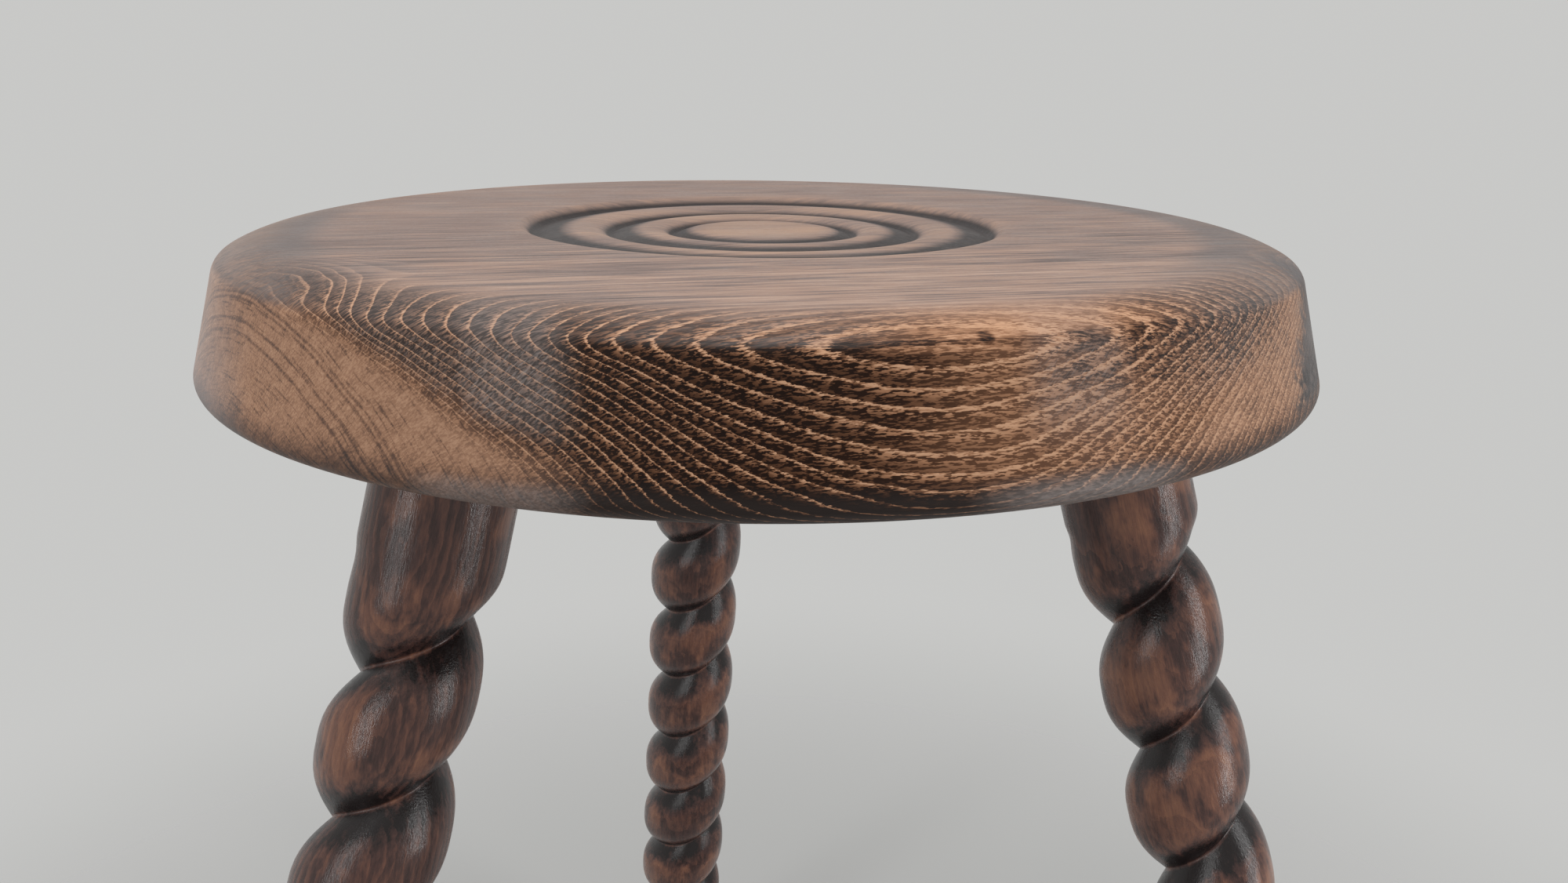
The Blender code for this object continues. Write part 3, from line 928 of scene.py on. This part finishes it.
finish_wood(seat_wood, seat_colour, seat_polish, seat_relief, SEAT_BUMP, SEAT_SPECULAR)
seat_turned.data.materials.append(seat_wood)
print("seat wood nodes", len(seat_tree.nodes))

# %% [markdown]
# The legs took the same stain on a closer wood, so they are darker and redder, with warm patches
# where more of it was rubbed off, faint growth rings, and near-black wax with painted shade to the sides of
# the groove.
# A thin lighter line runs in the bottom of the groove. All of it is drawn on each point's place in
# the leg's own wood, which the twist tree stored, so the grain runs down the leg and not round it.

# %% Leg wood
LEG_PITH = (0.0, 0.016, -0.021)
LEG_TAPER = (0.12, 1.0, 1.0)
RINGS_PER_METRE, RING_DRIFT = 480.0, 1.5
LEG_SPECULAR, LEG_BUMP = 0.42, 0.15
LEG_TONE, WARM_TONE, STREAK_SPREAD, DASH_SPREAD, YEAR_SPREAD = 0.24, 0.25, 0.15, 0.08, 0.12
GROOVE_WAX_AND_SHADE_TONE, GROOVE_LINE_TONE = -0.34, 0.30
LEG_COLOURS = [(0.0, (0.010, 0.006, 0.006)), (0.22, (0.064, 0.030, 0.025)), (0.45, (0.162, 0.071, 0.047)),
               (0.70, (0.272, 0.124, 0.071)), (1.0, (0.36, 0.21, 0.13))]


def make_leg_wood():
    material = bpy.data.materials.new("leg_stained_wood")
    material.use_nodes = True
    leg_grain = mark(material.node_tree, "grain_place", "Vector")
    groove = mark(material.node_tree, "groove")
    leg_streak = pores(leg_grain, long=90.0, fine=800.0)
    leg_dash = pores(leg_grain, long=500.0, fine=3000.0)
    leg_drift = stain_drift(leg_grain, along=40.0, across=75.0)
    rings = distance_from(stretch(leg_grain, LEG_TAPER), LEG_PITH) * RINGS_PER_METRE + leg_drift * RING_DRIFT
    leg_year = ease(work("FRACT", rings), 0.25, 0.95)
    leg_tone = LEG_TONE + ease(leg_drift, 0.42, 0.80) * WARM_TONE
    leg_tone = leg_tone + (leg_streak - 0.5) * STREAK_SPREAD + (leg_dash - 0.5) * DASH_SPREAD
    leg_tone = leg_tone + (leg_year - 0.4) * YEAR_SPREAD
    # Near-black to the sides of the groove: wax together with painted shade.
    leg_tone = leg_tone + ease(groove, 0.10, 0.65) * GROOVE_WAX_AND_SHADE_TONE
    leg_tone = leg_tone + ease(groove, 0.88, 0.97) * GROOVE_LINE_TONE
    leg_polish = hand_wax(leg_grain, dull=0.31, bright=0.17)
    finish_wood(material, ramp(leg_tone, LEG_COLOURS), leg_polish, leg_streak + leg_dash, LEG_BUMP,
                LEG_SPECULAR)
    return material


leg_wood = make_leg_wood()
print("leg wood nodes", len(leg_wood.node_tree.nodes))

# %% [markdown]
# The three legs are one turned pattern, so one tree makes them all. They were cut by hand, so each
# has its own start of the groove, share of the pitch, run-in of the twist and unevenness. A modifier
# on an empty mesh carries the tree, with its inputs set by identifier. The result is copied out as a
# plain mesh, with its place in it, and the carrier is removed.

# %% Legs
LEG_SPLAY = math.radians(16.5)
LEG_CIRCLE = 0.096
SHOULDER_GAP = 0.0003
TWIST_PITCH = 0.0377
LEG_SIZES = {"Length": SEAT_UNDERSIDE / math.cos(LEG_SPLAY),
             "Shoulder gap": SHOULDER_GAP / math.cos(LEG_SPLAY), "Radius": 0.0179, "Swell": 0.0022,
             "Depth": 0.0072, "Sharpness": 1.4, "Twist end": 0.034, "Splay": LEG_SPLAY, "Wood": leg_wood}
LEG_AZIMUTHS = {"leg_left": -60.0, "leg_right": 60.0, "leg_rear": 180.0}
LEG_TWISTS = {
    "leg_left": {"Groove start": 0.5545, "Pitch": TWIST_PITCH * 0.997, "Twist start": 0.0365,
                 "Fade": 0.014, "Seed": 0.0},
    "leg_right": {"Groove start": 0.1060, "Pitch": TWIST_PITCH * 1.050, "Twist start": 0.0405,
                  "Fade": 0.007, "Seed": 3.1},
    "leg_rear": {"Groove start": 0.0930, "Pitch": TWIST_PITCH, "Twist start": 0.0405,
                 "Fade": 0.007, "Seed": 7.7}}


def make_leg(node):
    azimuth = math.radians(LEG_AZIMUTHS[node])
    place = SEAT_CENTRE + Vector((math.sin(azimuth), -math.cos(azimuth), 0.0)) * LEG_CIRCLE
    place.z = SEAT_UNDERSIDE
    values = {**LEG_SIZES, **LEG_TWISTS[node], "Place": place, "Turn": (-LEG_SPLAY, 0.0, azimuth)}
    carrier = put_in_scene(node + "_carrier", bpy.data.meshes.new(node + "_carrier"))
    twister = carrier.modifiers.new("barley_twist", "NODES")
    twister.node_group = TWIST_TREE
    for item in TWIST_TREE.interface.items_tree:
        if item.in_out == "INPUT" and item.name in values:
            twister[item.identifier] = values[item.name]
    carrier.update_tag()
    graph = bpy.context.evaluated_depsgraph_get()
    mesh = bpy.data.meshes.new_from_object(carrier.evaluated_get(graph), depsgraph=graph)
    bpy.data.objects.remove(carrier)
    mesh.name = node + "_twisted"
    mesh.materials.clear()
    mesh.materials.append(leg_wood)
    return put_in_scene(node + "_twisted", mesh)


twisted_legs = {node: make_leg(node) for node in LEG_AZIMUTHS}
for node, leg in twisted_legs.items():
    print(node, "faces", len(leg.data.polygons))

# %% [markdown]
# Nothing on this stool moves, so every piece rides on the one body, root. Each finished piece takes
# the place of its node of the imported model, which is hidden.

# %% Every piece takes the place of its node
for piece, node, slot in [(seat_turned, "seat", "seat_wood")] + [
        (piece, node, "leg_wood") for node, piece in twisted_legs.items()]:
    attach(piece, "root")
    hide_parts(node)
print("pieces on root", 1 + len(twisted_legs))

# %% [markdown]
# The stool stands on a pale floor that fades into an even pale surround, with no horizon. A mix with
# a transparent shader fades the floor by its distance from the stool. That keeps the soft shadow at
# the feet, which an empty surround could not give.

# %% Floor
FLOOR_HALF, FLOOR_BELOW = 6.0, 0.0002
FLOOR_FADE_START, FLOOR_FADE_END = 0.24, 0.72
FLOOR_GREY, FLOOR_ROUGHNESS, FLOOR_SPECULAR = (0.40, 0.40, 0.395, 1.0), 0.9, 0.1


def make_floor():
    mesh = bpy.data.meshes.new("floor")
    corners = [(-FLOOR_HALF, -FLOOR_HALF), (FLOOR_HALF, -FLOOR_HALF), (FLOOR_HALF, FLOOR_HALF),
               (-FLOOR_HALF, FLOOR_HALF)]
    mesh.from_pydata([(x, y, -FLOOR_BELOW) for x, y in corners], [], [(0, 1, 2, 3)])
    floor = put_in_scene("floor", mesh)
    material = bpy.data.materials.new("floor_pale")
    material.use_nodes = True
    tree = material.node_tree
    shader = tree.nodes["Principled BSDF"]
    shader.inputs["Base Color"].default_value = FLOOR_GREY
    shader.inputs["Roughness"].default_value = FLOOR_ROUGHNESS
    shader.inputs["Specular IOR Level"].default_value = FLOOR_SPECULAR
    spot = Amount(add(tree, "ShaderNodeTexCoord").outputs["Object"])
    away = distance_from(spot, (0.0, 0.0, 0.0))
    clear = tree.nodes.new("ShaderNodeBsdfTransparent")
    fade = add(tree, "ShaderNodeMixShader", i0=ease(away, FLOOR_FADE_START, FLOOR_FADE_END),
               i1=Amount(shader.outputs[0]), i2=Amount(clear.outputs[0]))
    feed(Amount(fade.outputs[0]), tree.nodes["Material Output"].inputs["Surface"])
    mesh.materials.append(material)


make_floor()
print("floor fades out at", FLOOR_FADE_END, "m")

# %% [markdown]
# The light is soft. The surround is seen and mirrored as one even grey. As a light it is dimmer low in
# front and brighter high in front, so that the rim stays deep and the top opens up. A broad panel
# hangs overhead, and a narrow one at each side draws the long highlights down the polished legs.

# %% Surround and lamps
SURROUND = (0.58, 0.58, 0.57)
LIGHT_LOW, LIGHT_HIGH = (0.30, 0.30, 0.30), (0.75, 0.75, 0.74)


def make_surround():
    world = bpy.data.worlds.new("surround")
    bpy.context.scene.world = world
    world.use_nodes = True
    tree = world.node_tree
    rear, rise = split(Amount(add(tree, "ShaderNodeTexCoord").outputs["Generated"]))[1:]
    from_front = mix_colour(ease(rise, 0.25, 0.75), LIGHT_LOW, LIGHT_HIGH)
    lit = mix_colour(ease(rear, -0.35, 0.45), from_front, SURROUND)
    paths = tree.nodes.new("ShaderNodeLightPath")
    camera_ray, clear_ray, glossy_ray = [
        Amount(paths.outputs[name]) for name in ("Is Camera Ray", "Is Transmission Ray", "Is Glossy Ray")]
    seen = most(most(camera_ray, clear_ray), glossy_ray)
    feed(mix_colour(seen, lit, SURROUND), tree.nodes["Background"].inputs["Color"])
    tree.nodes["Background"].inputs["Strength"].default_value = 1.0


def make_panel(name, place, aim, size, power):
    data = bpy.data.lights.new(name, "AREA")
    data.shape = "RECTANGLE"
    data.size, data.size_y = size
    data.energy = power
    lamp = put_in_scene(name, data)
    lamp.location = place
    lamp.rotation_euler = (Vector(aim) - Vector(place)).to_track_quat("-Z", "Y").to_euler()


make_surround()
make_panel("overhead", place=(-0.2, 0.3, 1.7), aim=(0.0, 0.0, 0.4), size=(1.6, 1.6), power=15.0)
make_panel("side_left", place=(-1.14, -0.89, 0.75), aim=(0.0, 0.0, 0.35), size=(0.20, 1.3), power=5.4)
make_panel("side_right", place=(0.60, -0.56, 0.52), aim=(0.0, 0.0, 0.38), size=(0.08, 1.0), power=3.2)
bpy.context.scene.view_settings.view_transform = "Standard"
print("lamps", len(bpy.data.lights))
